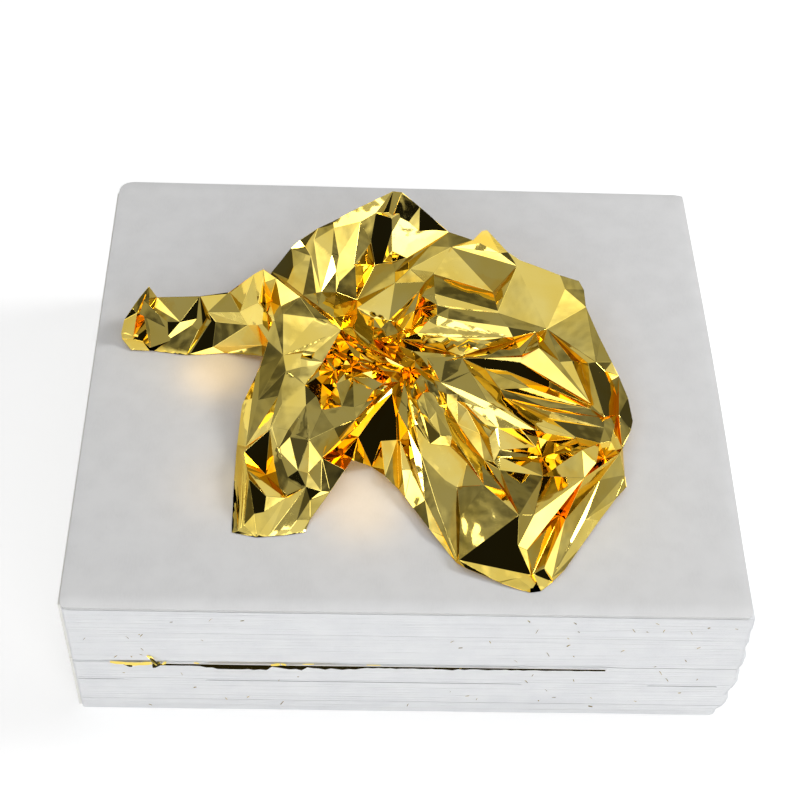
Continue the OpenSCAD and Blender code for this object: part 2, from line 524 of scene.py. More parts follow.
def add_turning_page(number, material):
    low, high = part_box(f"turning_page_{number}")
    bm = flat_sheet(low, high, SHEET_CUTS)
    # Rows of points crowd towards the edges, where the page hangs down
    for vert in bm.verts:
        for axis, (start, end) in enumerate(((low[0], high[0]), (low[1], high[1]))):
            middle, half = (start + end) / 2, (end - start) / 2
            share = (vert.co[axis] - middle) / half
            vert.co[axis] = middle + half * math.sin(share * math.pi / 2)
    inset = PAGE_STEP * (number - 1)
    trimmed = TRIMMED_CORNER * 2
    for vert in bm.verts:
        round_corner(vert, (low[0] + CORNER_RADIUS, high[1] - CORNER_RADIUS), CORNER_RADIUS, -1, 1)
        round_corner(vert, (low[0] + trimmed, low[1] + trimmed), trimmed, -1, -1)
        round_corner(vert, (high[0] - trimmed, low[1] + trimmed), trimmed, 1, -1)
        x, y = vert.co.x, vert.co.y
        vert.co.z = high[2] - SHEET_THICKNESS - droop_at(x, y) + page_wave(x, y)
        bow = PAGE_BOW * math.cos(y / BACK * BOW_SPREAD)
        vert.co.x += (bow - inset) * max(0.0, x / FORE)
        vert.co.y += inset * max(0.0, -y / BACK)
    lower_face = bm.verts[:]
    thicken(bm, SHEET_THICKNESS)
    for vert in lower_face:
        inside = min(vert.co.x - low[0], high[0] - vert.co.x, vert.co.y - low[1], high[1] - vert.co.y)
        vert.co.z -= EDGE_THICKENING * max(0, 1 - max(0, inside) / EDGE_REACH)
    page = new_piece(f"top_page_{number}", bm, material, f"page_{number}")
    lay_sheet(f"turning_page_{number}")


LEAF_CUTS = 96
# The leaf's rim, as a share of its half side, in which the edge is torn, and how deep
TORN_SHARE = 0.03
TEAR = 0.35
RAGGED_WAVES = 420
LEAF_WRINKLE = 0.07 * MM
SLIPPED_LEAF_WRINKLE = 0.02 * MM
# How far the edge of the leaf in the gap hangs over the page edges below it: x from and to, how far, in mm
APRON_STRETCHES = (
    (-62, 58, 0.22), (-50, -46, 0.5), (-47, -33, 0.75), (-31, -24, 0.6), (-23, -10, 0.45), (8, 14, 0.35),
)
APRON_TILT = math.radians(41)
APRON_END = 50 * MM
APRON_DEPTH = 1.5 * MM
APRON_OUT = 0.06 * MM
APRON_RAGGED = 0.7


def leaf_sheet(node, seed, wrinkle):
    """A square of leaf with fine wrinkles and slightly torn edges."""
    low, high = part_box(node)
    bm = flat_sheet(low, high, LEAF_CUTS)
    middle_x, middle_y = (low[0] + high[0]) / 2, (low[1] + high[1]) / 2
    for vert in bm.verts:
        x, y = vert.co.x, vert.co.y
        reach = max(abs(x - middle_x) / (high[0] - low[0]), abs(y - middle_y) / (high[1] - low[1])) * 2
        at_edge = max(0.0, (reach - (1 - TORN_SHARE)) / TORN_SHARE)
        ragged = noise.noise(Vector((x * RAGGED_WAVES, y * RAGGED_WAVES, seed)))
        fold = 1 - abs(noise.noise(Vector((x * 38 + y * 21, y * 30, seed)))) * 2
        crease = 1 - abs(noise.noise(Vector((x * 150, y * 110, seed + 7)))) * 2
        vert.co.z = low[2] + LEAF_THICKNESS / 2 - droop_at(x, y) + page_wave(x, y)
        vert.co.z += wrinkle * (fold * 0.7 + crease * 0.3 + 0.3)
        pull = (TEAR + TEAR * ragged) * MM * at_edge
        vert.co.x -= math.copysign(pull, x - middle_x)
        vert.co.y -= math.copysign(pull, y - middle_y)
    return bm


def add_leaf_below(number, material, body):
    """The leaf under a turning page."""
    node = f"leaf_under_page_{number}"
    bm = leaf_sheet(node, 11.0 * number, LEAF_WRINKLE)
    leaf = new_piece(f"leaf_below_page_{number}", bm, material, body)
    lay_sheet(node)


def hang_over(bm):
    """Bends the leaf's torn front edge over the page edges below it."""
    front = min(vert.co.y for vert in bm.verts)
    edges = []
    for edge in bm.edges:
        at_front = max(vert.co.y for vert in edge.verts) < front + APRON_DEPTH
        if edge.is_boundary and at_front and max(vert.co.x for vert in edge.verts) < APRON_END:
            edges.append(edge)
    for vert in {vert for edge in edges for vert in edge.verts}:
        vert.co.y = FRONT - APRON_OUT
    made = bmesh.ops.extrude_edge_only(bm, edges=edges)
    for vert in verts_of(made):
        ragged = 1 + APRON_RAGGED * noise.noise(Vector((vert.co.x * 700, 3.0, 1.0)))
        out = stretch_depth(APRON_STRETCHES, vert.co.x) * ragged
        vert.co.y -= out
        vert.co.z -= out * math.tan(APRON_TILT)


def add_slipped_leaf(material):
    """The leaf in the open gap."""
    node = "slipped_leaf"
    bm = leaf_sheet(node, 71.0, SLIPPED_LEAF_WRINKLE)
    hang_over(bm)
    leaf = new_piece("leaf_in_the_gap", bm, material, "booklet_4")
    lay_sheet(node)


# Flakes of leaf at the front edges

# Scraps that show clearly: the booklet, x along the front edge, height above the base, length and width
# in mm, turn in degrees, and how far it leans out for its height
SCRAPS = (
    (4, -69.6, 23.0, 4.6, 0.9, -4, 0.35), (4, -66.4, 22.7, 4.0, 1.1, 3, 0.5),
    (4, -63.4, 22.8, 3.4, 1.2, 8, 0.3), (4, -60.6, 22.9, 2.0, 0.9, 15, 1.15),
    (3, -61.5, 25.3, 3.0, 0.8, -35, 1.1), (4, -67.6, 22.5, 2.2, 0.6, -10, 1.15),
    (4, -58.7, 23.1, 1.2, 0.7, 40, 0.5), (4, -31.6, 23.0, 2.2, 0.8, 8, 0.4),
    (4, -29.6, 23.1, 1.4, 0.6, -20, 0.3), (4, -50.8, 23.2, 1.3, 0.5, -10, 0.4),
    (4, -23.5, 23.3, 2.8, 0.35, 2, 0.4), (4, -7.5, 23.3, 3.4, 0.3, 0, 0.4),
)
SCRAP_OUT = 0.1 * MM
SPECKS_A_BOOKLET = {1: 14, 2: 12, 3: 9, 4: 12, 5: 12, 6: 4}
# Where the specks gather along the front, in mm, and how widely
SPECK_CLUSTERS = (-62, -50, 20, 34, 66)
SPECK_SPREAD = 11
SPECK_END = 79
SPECK_LENGTH = (0.3, 1.1)
SPECK_WIDTH = (0.07, 0.18)
SPECK_TURN = (-0.9, 0.9)
SPECK_LEAN = (0.9, 1.5)
# How far specks keep from the top and the base of a booklet, and from the top of the soft upper one
SPECK_BASE_MARGIN = 0.8 * MM
SPECK_TOP_MARGIN = 0.6
SPECK_SOFT_TOP_MARGIN = 2.2
# How much a flake narrows towards its ends and by which share of that at a point, how uneven its rim is,
# how far it curls off its plane, and how far it stays off the page edges
FLAKE_TAPER = 1.2
FLAKE_TAPER_SHARES = (0.5, 1)
FLAKE_RAGGED = (-0.08, 0.08)
FLAKE_CURL = (0, 0.04)
FLAKE_OUT = 0.06 * MM
FLAKE_LEAST_OUT = 0.03 * MM


def add_flake(bm, place, length, width, turn, lean, rng):
    """A bent scrap of leaf that leans off the page edges. lean is how far it stands out for its height."""
    made = bmesh.ops.create_grid(bm, x_segments=3, y_segments=2, size=0.5)
    for vert in made["verts"]:
        across, up = vert.co.x, vert.co.y
        taper = 1 - FLAKE_TAPER * abs(across) * rng.uniform(*FLAKE_TAPER_SHARES)
        x = across * length
        z = up * width * taper + rng.uniform(*FLAKE_RAGGED) * width
        side = x * math.cos(turn) - z * math.sin(turn)
        height = x * math.sin(turn) + z * math.cos(turn)
        out = -FLAKE_OUT - lean * (0.5 * width - height) - rng.uniform(*FLAKE_CURL) * width
        vert.co = Vector(place) + Vector((side, min(out, -FLAKE_LEAST_OUT), height))


def add_specks(booklet, material):
    """Dusty specks scattered over one booklet's front edges."""
    rng = random.Random(900 + booklet)
    bm = bmesh.new()
    low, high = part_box(f"booklet_{booklet}_pages")
    top_margin = SPECK_SOFT_TOP_MARGIN if booklet == 1 else SPECK_TOP_MARGIN
    for _ in range(SPECKS_A_BOOKLET[booklet]):
        cluster = rng.choice(SPECK_CLUSTERS)
        x = min(SPECK_END, max(-SPECK_END, rng.gauss(cluster, SPECK_SPREAD))) * MM
        z = rng.uniform(low[2] + SPECK_BASE_MARGIN, high[2] - top_margin * MM)
        add_flake(bm, (x, FRONT, z), rng.uniform(*SPECK_LENGTH) * MM, rng.uniform(*SPECK_WIDTH) * MM,
                  rng.uniform(*SPECK_TURN), rng.uniform(*SPECK_LEAN), rng)
    new_piece(f"booklet_{booklet}_leaf_flakes", bm, material, f"booklet_{booklet}", smooth=False)


def add_scraps(booklet, material):
    """The larger bright scraps at one booklet's front edges."""
    rng = random.Random(70 + booklet)
    bm = bmesh.new()
    for owner, x, z, length, width, turn, lean in SCRAPS:
        if owner == booklet:
            place = (x * MM, FRONT - SCRAP_OUT, z * MM)
            add_flake(bm, place, length * MM, width * MM, math.radians(turn), lean, rng)
    new_piece(f"booklet_{booklet}_leaf_scraps", bm, material, f"booklet_{booklet}", smooth=False)


# The crumpled leaf

# Each crease as photo column, photo row and height above the page in mm.
# A place that stands in an earlier crease has its height there.
FOLDS = {
    "arm end": [
        (149, 286, 12), (140, 297, 11), (132, 308, 10), (124, 320, 8), (121, 333, 4), (122, 339, 2),
        (131, 350, 0.5),
    ],
    "arm front edge": [(131, 350), (152, 351, 0.2), (186, 356, 0), (225, 353, 0.5), (262, 356, 3)],
    "arm top edge": [
        (149, 286), (157, 297, 7.5), (200, 296, 9), (229, 292, 10), (254, 274, 21), (263, 269, 25),
    ],
    "back rim": [
        (263, 269), (272, 272, 15), (291, 248, 14), (300, 240, 14), (318, 228, 14.5), (333, 221),
        (360, 207), (393, 191), (402, 192, 20), (420, 207, 17.5), (449, 232),
    ],
    "right rim": [
        (449, 232), (473, 240, 13.8), (482, 231, 10), (487, 230, 9.5), (508, 252, 15.5),
        (520, 260, 14.5), (560, 275, 12.5), (579, 281, 11), (584, 290, 10), (586, 307, 9.5),
        (600, 338, 8), (612, 362, 8), (619, 376, 7), (628, 398, 6), (633, 421, 4), (631, 430, 4),
        (623, 449, 4), (625, 475, 3), (627, 487, 2),
    ],
    "front rim": [
        (627, 487), (615, 500, 1.5), (600, 520, 1), (580, 548, 1), (565, 570, 1), (553, 582, 0.5),
        (541, 592, 0), (530, 593, 0.2), (500, 583, 0.8), (465, 568, 1.6), (455, 562, 0), (430, 530, 2),
        (413, 508, 2), (399, 490, 1), (385, 476, 3), (372, 467), (352, 460, 4.5),
    ],
    "left rim": [
        (352, 460), (345, 470, 7), (330, 492, 4), (310, 520, 1), (305, 533, 0), (285, 536, 0),
        (257, 538, 0), (232, 533, 0), (233, 500, 0), (234, 480, 0), (237, 445, 2), (242, 405, 5),
        (248, 392, 7), (256, 375, 10), (262, 356),
    ],
    # the arm
    "arm inner line": [(149, 286), (137, 313, 9), (122, 339)],
    "arm end wall": [(157, 297), (153, 306, 7), (133, 339), (122, 339)],
    "trough wall foot": [(137, 313), (153, 306)],
    "trough floor": [(133, 339), (155, 322), (180, 322), (205, 317, 5.5)],
    "trough floor back": [(153, 306), (155, 322)],
    "arm lip": [(133, 339), (150, 343, 1), (160, 345, 1), (186, 356)],
    "white triangle": [(160, 345), (205, 317), (186, 356)],
    "trough wall end": [(229, 292), (208, 312, 8), (205, 317)],
    "red facet": [(205, 317), (211, 321), (186, 356)],
    "black panel": [(211, 321), (216, 322), (213, 347), (190, 354, 0.5)],
    "arm sheet": [(208, 312), (248, 325, 10), (240, 312, 12), (254, 274)],
    "arm plane": [(216, 322), (248, 325)],
    "arm plane foot": [(213, 347), (262, 345, 5)],
    "crinkled band": [(248, 325), (258, 325, 12)],
    "crest root": [(263, 269), (262, 283, 22), (258, 303, 17), (258, 325), (262, 345), (262, 356)],
    # the crest
    "crest": [
        (263, 269), (276, 278, 24), (300, 297, 20), (315, 308, 18), (330, 320, 16), (341, 329, 16),
    ],
    "behind crest": [
        (272, 272), (279, 276, 12), (303, 295, 11), (318, 306, 11), (333, 318, 12), (341, 329),
    ],
    "crest foot": [
        (258, 303), (270, 301, 17), (281, 306, 18), (283, 314, 17.5), (315, 318, 17.5), (341, 329),
    ],
    "left pale facet": [(283, 314), (275, 321, 16), (268, 341, 12.5), (262, 345)],
    "speckled facet": [(275, 321), (283, 355, 14), (341, 329)],
    # the left lobe
    "left olive strip": [(268, 341), (260, 367, 11), (256, 375)],
    "left strip inner": [(283, 355), (258, 400, 9), (246, 447, 5)],
    "left strip outer": [(262, 356), (260, 367), (252, 400, 8), (246, 447)],
    "olive panel": [(283, 355), (286, 371, 13), (305, 385, 13), (323, 362, 14), (341, 329)],
    "pale triangle": [(286, 371), (281, 387, 12), (305, 385)],
    "pale facet": [(281, 387), (278, 396, 11.5), (246, 447)],
    "dark gold facet": [(278, 396), (282, 404, 11.5), (270, 429, 10.5), (246, 447)],
    "pale column": [(282, 404), (305, 385)],
    "pale column edge": [(305, 385), (306, 405, 12), (288, 430, 11), (272, 427, 10.5)],
    "black triangle": [(244, 452), (270, 429), (266, 475), (244, 452)],
    "cluster": [
        (270, 429), (272, 427), (278, 449, 9.5), (288, 477, 7), (287, 495, 4.5), (280, 488, 4.5),
        (274, 463, 7), (266, 475),
    ],
    "cluster top": [(272, 427), (288, 430), (278, 449)],
    "orange band": [(306, 405), (290, 437, 10), (298, 470, 8), (306, 487, 5), (287, 495)],
    "second black triangle": [(249, 479, 7), (266, 496), (264, 512), (257, 538)],
    "second black triangle side": [(249, 479), (254, 514), (257, 538)],
    "white facet": [(266, 475), (285, 498, 3.5), (257, 538)],
    "white facet top": [(244, 452), (247, 470, 6.5), (285, 498)],
    "white facet side": [(247, 470), (249, 479)],
    "left black strip": [(244, 452), (241, 529, 0.8)],
    "left black strip side": [(247, 470), (244, 525, 1.2), (241, 529)],
    "left white strip": [(237, 445), (238, 531, 0.6)],
    "front orange fold": [(285, 498), (306, 487), (269, 536, 0.3)],
    "dark front fold": [(269, 536), (297, 520, 1.5), (303, 531, 0.5)],
    "front fold edge": [(306, 487), (310, 500, 3), (310, 520)],
    "golden sheet top": [(306, 487), (308, 473, 6), (322, 458, 8), (342, 456), (352, 460)],
    "golden quad": [(322, 458), (321, 491, 4.5), (330, 492)],
    "olive facet": [(306, 405), (309, 440, 12), (308, 473)],
    "olive facet 2": [(309, 440), (334, 428, 12), (322, 458)],
    "olive top": [(322, 410), (334, 428)],
    # the arch
    "arch": [(392, 393, 13), (372, 417), (358, 437), (342, 456)],
    "arch dark side": [(392, 393), (386, 411), (381, 441), (372, 467)],
    "arch column": [(392, 393), (396, 418, 9), (397, 440, 5.5), (399, 490)],
    "arch band": [(389, 387, 12.5), (374, 400, 11.5), (356, 419, 11), (340, 440, 10), (322, 458)],
    "arch crest": [
        (399, 382), (392, 388, 13.5), (376, 404, 13.5), (358, 426, 13), (334, 449, 11), (322, 458),
    ],
    "bright column": [
        (404, 384, 12.5), (407, 408, 12.5), (408, 430, 11.5), (411, 470, 5.5), (413, 508),
    ],
    "bright column side": [
        (399, 382, 11), (396, 396, 11), (398, 412, 11), (400, 440, 8), (402, 470, 5.5), (405, 497, 2.5),
    ],
    # the back lobe
    "black tip": [(318, 228), (334, 228), (333, 221)],
    "green fold": [(302, 241, 13), (311, 256, 12), (316, 293, 9.5)],
    "green back band": [(318, 228), (314, 240, 13.5), (321, 292, 9.5)],
    "black sliver": [(334, 228), (332, 254, 12), (336, 271, 10), (336, 292, 7.5)],
    "black sliver side": [(334, 228), (339, 256), (336, 271)],
    "white strip": [(334, 228), (360, 222, 14.5), (376, 213), (393, 191)],
    "panel fold": [(360, 222), (354, 264), (339, 282)],
    "panel foot": [(336, 292), (339, 282), (355, 266), (375, 265)],
    "dark facet": [(360, 222), (371, 242), (375, 265)],
    "dark facet side": [(376, 213), (392, 218), (392, 232), (383, 262), (375, 265)],
    "white panel": [(383, 213), (404, 211), (449, 232)],
    "white panel foot": [(392, 232), (392, 251), (407, 258), (449, 232)],
    "peak": [(393, 191), (383, 213)],
    "peak right": [(402, 192), (404, 211)],
    "fan 1": [(375, 265), (392, 262, 7), (407, 258)],
    "fan white": [(375, 265), (357, 300, 4.5)],
    "fan 2": [(357, 300), (395, 272, 7), (430, 246, 12.5), (449, 232)],
    "fan 3": [(357, 308, 5.5), (395, 283, 6.5), (410, 269, 10.5), (451, 247, 13.5)],
    "fan olive": [(357, 308), (389, 320, 5), (425, 282, 9), (434, 272, 10.5), (451, 247)],
    "fan golden": [(389, 320), (399, 333, 4.5), (401, 339)],
    "fan golden 1": [(389, 320), (396, 322, 4), (420, 290, 8.5), (434, 274)],
    "fan golden 2": [(396, 322), (403, 330, 6), (415, 310, 7.5), (422, 296)],
    "fan golden 3": [(403, 330), (411, 329, 5), (420, 308, 6.5), (422, 296)],
    # the gathered middle
    "knot edge": [(341, 329), (348, 334, 15), (362, 345, 14.5), (385, 357, 14), (404, 367, 13)],
    "knot edge foot": [
        (341, 329), (345, 341, 12), (360, 353, 11), (382, 364, 11), (402, 373, 10), (404, 367),
    ],
    "knot back": [
        (341, 329), (352, 328, 13), (358, 338, 13.5), (372, 349, 13), (393, 359, 12), (404, 367),
    ],
    "olive scale": [(333, 318), (344, 316, 10.5), (357, 314, 7), (367, 325, 7), (373, 339, 9.5)],
    "olive scale foot": [(344, 316), (352, 328), (358, 338)],
    "brown crinkle 1": [(357, 314), (362, 313, 5), (374, 318, 5), (381, 328, 6.5), (389, 320)],
    "brown crinkle 2": [(367, 325), (374, 327, 5.5), (381, 328), (386, 337, 6), (399, 333)],
    "brown crinkle 3": [(373, 339), (386, 337), (394, 342, 7.5), (401, 339)],
    "brown crinkle 4": [(367, 325), (374, 318)],
    "knot rim": [
        (373, 339), (382, 341, 12), (400, 346, 12.5), (413, 351, 12.5), (421, 357, 12.5),
        (429, 368, 13), (441, 382),
    ],
    "knot rim foot": [
        (373, 339), (384, 346, 9.5), (396, 352, 9.5), (405, 356, 10.5), (415, 361, 10.5),
        (414, 367, 10), (404, 367),
    ],
    "white patch": [(396, 352), (402, 360, 11), (404, 367)],
    "white patch side": [(402, 360), (415, 361)],
    "rim shade": [(414, 367), (423, 371, 10.5), (434, 380, 10.5), (441, 382)],
    "rim shade top": [(415, 361), (421, 357)],
    "streak": [(404, 367), (410, 372, 8.5), (421, 375, 11), (430, 379, 11)],
    "green spot": [
        (410, 372), (416, 381, 10.5), (421, 393, 9), (426, 389, 10), (424, 380, 11), (416, 381),
    ],
    "knot blob": [(434, 380), (438, 390, 10.5), (447, 394, 11.5), (458, 394)],
    "knot blob foot": [(438, 390), (430, 392), (424, 380)],
    "knot blob side": [(438, 390), (447, 405), (447, 394)],
    "knot pleat 1": [(402, 373), (404, 384), (410, 372)],
    "knot pleat 2": [(410, 372), (409, 385, 10), (409, 398), (412, 398), (416, 381)],
    "knot pleat 3": [(421, 393), (418, 400), (423, 393), (426, 389)],
    # orange folds left of the middle
    "left crinkle 1": [(345, 341), (340, 352, 9), (356, 361, 11.5), (378, 367, 9.5), (402, 373)],
    "left crinkle 2": [
        (340, 352), (331, 350, 12), (326, 358, 12), (340, 365, 8), (352, 367, 8.5), (356, 361),
    ],
    "left crinkle 3": [(326, 358), (323, 362)],
    "left crinkle 4": [
        (323, 362), (334, 371, 9), (346, 372, 11), (352, 367), (372, 371, 12), (390, 377, 10),
        (402, 373),
    ],
    "left crinkle 5": [(372, 371), (378, 367)],
    "left crinkle 6": [(334, 371), (322, 384, 9), (316, 396, 11), (306, 405)],
    "left crinkle 7": [(346, 372), (336, 384, 11), (328, 396, 8.5), (322, 410, 11), (306, 405)],
    "left crinkle 8": [(346, 372), (353, 377, 9)],
    "olive cup": [
        (353, 377), (362, 373, 11), (372, 378, 10.5), (374, 390, 10), (366, 402, 11), (354, 407, 11),
        (342, 406, 10), (353, 377),
    ],
    "olive cup rim": [(362, 373), (372, 371)],
    "olive cup side": [(372, 378), (382, 376, 9), (390, 377)],
    "olive cup side 2": [(374, 390), (383, 384, 11), (392, 382, 10), (399, 382)],
    "olive cup side 3": [(382, 376), (383, 384), (390, 377)],
    "olive cup side 4": [(366, 402), (374, 400)],
    "olive sheet": [(342, 406), (334, 428), (340, 440)],
    "olive sheet side": [(354, 407), (356, 419)],
    "olive sheet side 2": [(342, 406), (328, 396)],
    "knot foot": [(392, 382), (399, 382), (402, 373)],
    "knot foot 2": [(389, 387), (392, 382)],
    # the right panels
    "back flap": [(473, 240), (480, 243, 16), (500, 253, 16), (508, 252)],
    "back flap fold": [(480, 243), (487, 230)],
    "inner ridge": [(449, 232), (451, 247), (517, 266, 14.2), (565, 289, 11), (584, 290)],
    "panel A": [(434, 272), (451, 247)],
    "panel A side": [(517, 266), (493, 292), (498, 311, 10.5)],
    "dark gold panel": [(434, 274), (493, 292)],
    "dark gold panel foot": [(434, 274), (435, 294, 12.5), (498, 311)],
    "panel B": [(498, 311), (547, 329, 7), (565, 289)],
    "green facet": [(547, 329), (586, 307)],
    "pale band": [(422, 296, 11), (437, 305, 11.2), (498, 313, 10.3), (547, 329)],
    "pale band side": [(434, 274), (422, 296)],
    "white spot": [(428, 321, 10.8), (437, 315, 11.6), (448, 319, 11), (438, 326, 10), (428, 321)],
    "brown band": [(437, 305), (449, 308, 10.8), (508, 327, 10.2), (547, 329)],
    "ridge 1": [(448, 319), (508, 327)],
    "ridge 2": [(417, 333, 10), (513, 337, 9.5), (536, 332, 8)],
    "ridge 3": [(401, 339, 8), (462, 356, 8), (515, 341, 7), (522, 355, 8)],
    "ridge 4": [(462, 358, 9), (485, 358, 9), (522, 357, 9)],
    "black notch": [(536, 332), (522, 355), (539, 348, 10), (540, 337, 6), (536, 332)],
    "right olive facet": [(522, 357), (539, 348), (590, 403, 7.2)],
    "pale strip": [(485, 358), (520, 362), (590, 403)],
    "black strip": [(485, 358), (506, 371), (549, 388), (550, 381), (520, 362)],
    "gold tongue": [(462, 358), (485, 369, 7), (506, 371)],
    "white end": [(550, 381), (592, 406, 6.5)],
    "ridge 5": [(540, 337), (560, 362, 9), (590, 403)],
    "ridge 6": [(547, 329), (572, 361, 9), (592, 406)],
    "ridge 7": [(547, 329), (596, 362, 8.5), (612, 362)],
    "olive side": [(586, 307), (596, 362), (605, 371, 7), (604, 417, 8), (592, 406)],
    "stripe 1": [(547, 329), (580, 362, 7.4), (592, 406)],
    "stripe 2": [(547, 329), (588, 363, 9.4), (604, 417)],
    "right column": [(605, 371), (617, 378, 5), (617, 415, 5), (616, 450, 6)],
    "right column pale": [(619, 376), (619, 415, 7), (622, 448, 4)],
    # the lower right lobe
    "strip 1": [(485, 369), (500, 389, 7.2), (591, 409, 6.5)],
    "strip 2": [(500, 389), (505, 398, 7.6), (548, 408, 7), (604, 418, 7)],
    "strip 3": [
        (496, 401, 11.5), (535, 424, 11), (576, 437, 9), (600, 443, 9), (611, 441, 8), (616, 450),
    ],
    "stripe 3": [(505, 398), (551, 412, 9.4), (604, 428, 7.8), (611, 441)],
    "stripe 4": [(505, 398), (549, 418, 8.2), (600, 443)],
    "stripe 5": [(485, 369), (530, 388, 8.6), (591, 409)],
    "strip 3 top": [(505, 398), (496, 401), (470, 372, 10)],
    "white crease": [(441, 382), (462, 390), (488, 402), (535, 430), (545, 433, 10), (575, 438, 9)],
    "white crease foot": [(441, 382), (458, 394), (486, 409), (520, 428), (535, 430)],
    "green band": [(458, 394), (465, 403, 11), (498, 428, 10.5), (536, 447, 8), (542, 457)],
    "speckled olive": [(427, 358, 12), (445, 361, 10), (458, 371, 10), (470, 372)],
    "speckled olive side": [(427, 358), (441, 382, 11), (470, 372)],
    "black hollow": [(535, 430), (538, 437, 9), (542, 457, 5)],
    "black hollow side": [(575, 438), (548, 441, 8), (542, 457)],
    "star": [(542, 457), (500, 450, 9), (500, 457, 8), (543, 476, 6), (542, 457)],
    "star right": [(543, 476), (582, 450), (542, 457)],
    "yellow facet": [
        (447, 405, 9.5), (457, 401, 10), (467, 409, 10), (479, 423, 10), (489, 438, 10), (500, 450),
    ],
    "yellow facet side": [
        (447, 405), (458, 424, 8.5), (472, 444, 8), (484, 460, 7.5), (500, 470, 7), (500, 457),
    ],
    "yellow fold": [(467, 409), (480, 434, 8.5), (494, 462, 8)],
    "ridge main": [
        (423, 393, 12), (436, 412, 12), (452, 436, 12), (470, 462, 11), (484, 485, 10), (519, 515),
    ],
    "ridge second": [
        (430, 392, 11), (444, 414, 11), (464, 441, 10), (482, 464, 9), (503, 490, 8), (519, 515),
    ],
    "olive facet C": [(500, 470), (519, 515)],
    "olive facet C fold": [(484, 460), (510, 497, 7), (519, 515)],
    "olive facet C side": [(543, 476), (534, 515)],
    "fold line": [(519, 515), (534, 515)],
    "white plane": [(582, 450), (596, 463), (584, 478), (527, 550), (518, 546, 5), (534, 515)],
    "crumple": [(582, 450), (600, 443)],
    "crumple 2": [(611, 441), (605, 458, 5), (596, 463)],
    "ridge right": [(616, 450), (620, 453, 7), (584, 478)],
    "ridge right 2": [(620, 453), (600, 480, 6), (552, 578, 2)],
    "ridge right 3": [(625, 475), (585, 520, 4), (552, 578)],
    "orange fold": [(584, 478), (560, 515, 3), (533, 574, 1.5)],
    "orange fold 2": [(584, 478), (565, 520, 5), (544, 568, 2.5), (533, 574)],
    "black facet": [(519, 515), (459, 560), (531, 575)],
    "black facet side": [(518, 546), (531, 575)],
    "toe": [(531, 575), (541, 592)],
    "toe side": [(544, 568), (553, 582)],
    "bottom strip": [(459, 560), (455, 562)],
    "olive triangle": [(484, 485), (460, 517, 6), (519, 515)],
    "orange facet": [(484, 485), (457, 487, 7), (460, 517)],
    "gold triangle": [(467, 463, 9), (462, 486, 7), (457, 487)],
    "gold brown facet": [(430, 444, 9), (450, 446, 9.5), (467, 463)],
    "gold brown side": [(430, 444), (457, 487)],
    "pleat 1": [
        (412, 398, 11), (419, 411, 11), (430, 444), (445, 480, 7), (456, 509, 5), (457, 559, 1),
    ],
    "pleat 1 edge": [(418, 400, 12), (428, 418, 11.5), (441, 436, 11), (450, 446)],
    "pleat 2": [(409, 398, 12), (414, 425, 10), (421, 455, 8), (438, 510, 4), (455, 560, 0.5)],
    "pleat 3": [(408, 430), (415, 462, 8), (425, 500, 3.5), (455, 562)],
    "lower olive": [(460, 517), (459, 560)],
}

# Flat facets that mirror one thing: a corner whose height is known, the facet's tilt and the azimuth that it
# faces in degrees, and the corners whose heights follow from it
TILTED_FACETS = (
    ((360, 222), 31, 181, ((334, 228), (333, 221), (360, 207), (393, 191), (376, 213))),
    ((376, 213), 43, 183, ((392, 218), (392, 232), (383, 262), (375, 265), (371, 242))),
    ((392, 232), 31, 182, ((383, 213), (404, 211), (449, 232), (407, 258), (392, 251))),
    ((360, 222), 18, 180, ((354, 264), (355, 266), (339, 256), (339, 282))),
    ((270, 429), 41, 183, ((244, 452), (266, 475))),
    ((249, 479), 41, 183, ((266, 496), (264, 512), (254, 514))),
    ((392, 393), 41, 183, ((386, 411), (381, 441), (372, 467), (372, 417), (358, 437), (342, 456))),
    ((485, 358), 41, 183, ((520, 362), (550, 381), (549, 388), (506, 371))),
    ((160, 345), 41, 183, ((133, 339), (155, 322), (180, 322))),
    ((190, 354), 41, 183, ((211, 321), (216, 322), (213, 347))),
    ((441, 382), 29, 225, ((462, 390), (488, 402), (535, 430), (458, 394), (486, 409), (520, 428))),
    ((451, 247), 22, 190, ((434, 274), (493, 292))),
    ((518, 546), 41, 181, ((531, 575), (459, 560), (519, 515))),
    ((518, 546), 28, 188, ((527, 550), (534, 515), (582, 450), (584, 478), (596, 463))),
)

# The creases that make up the rim, in order round the leaf, and those that are written the other way round
RIM = ("arm end", "arm top edge", "back rim", "right rim", "front rim", "left rim", "arm front edge")
REVERSED_RIM = ("arm end", "arm front edge")

# How the creases are joined into facets: what lies outside the outline is left out, and places nearer are one
KEEP_INSIDE = 1
SAME_PLACE = 1e-4

# Where the leaf is finely crinkled: photo column, photo row, height above the page and reach in mm
CRINKLED = (
    (405, 374, 11, 5), (425, 380, 11, 4), (385, 366, 11, 4), (362, 354, 11, 5.5), (338, 352, 11, 5.5),
    (318, 366, 11, 5), (308, 388, 11, 4.5), (385, 384, 10, 3.5), (372, 322, 5, 4), (388, 334, 6, 3.5),
    (425, 344, 10, 4), (448, 346, 9, 3.5), (470, 345, 8, 3.5), (492, 342, 8, 3), (450, 392, 11, 3.5),
    (405, 405, 11, 3), (418, 420, 10, 3), (300, 410, 11, 3), (290, 262, 13, 4), (488, 430, 9, 2.5),
    (522, 452, 9, 2.5), (252, 330, 11, 3), (326, 384, 10, 4), (350, 366, 11, 3.5), (296, 425, 11, 3),
    (370, 344, 12, 4), (276, 470, 8, 4), (298, 478, 8, 3.5),
)
CRINKLED_PLACES = tuple(
    (*above_page(column, row, height).to_2d(), reach * MM) for column, row, height, reach in CRINKLED)
# The nearness to such a place from which the leaf gets crinkles instead of rounded folds, and that from which
# its slighter folds stay sharp
CRINKLE_NEARNESS = 0.3
SHARP_NEARNESS = 0.25

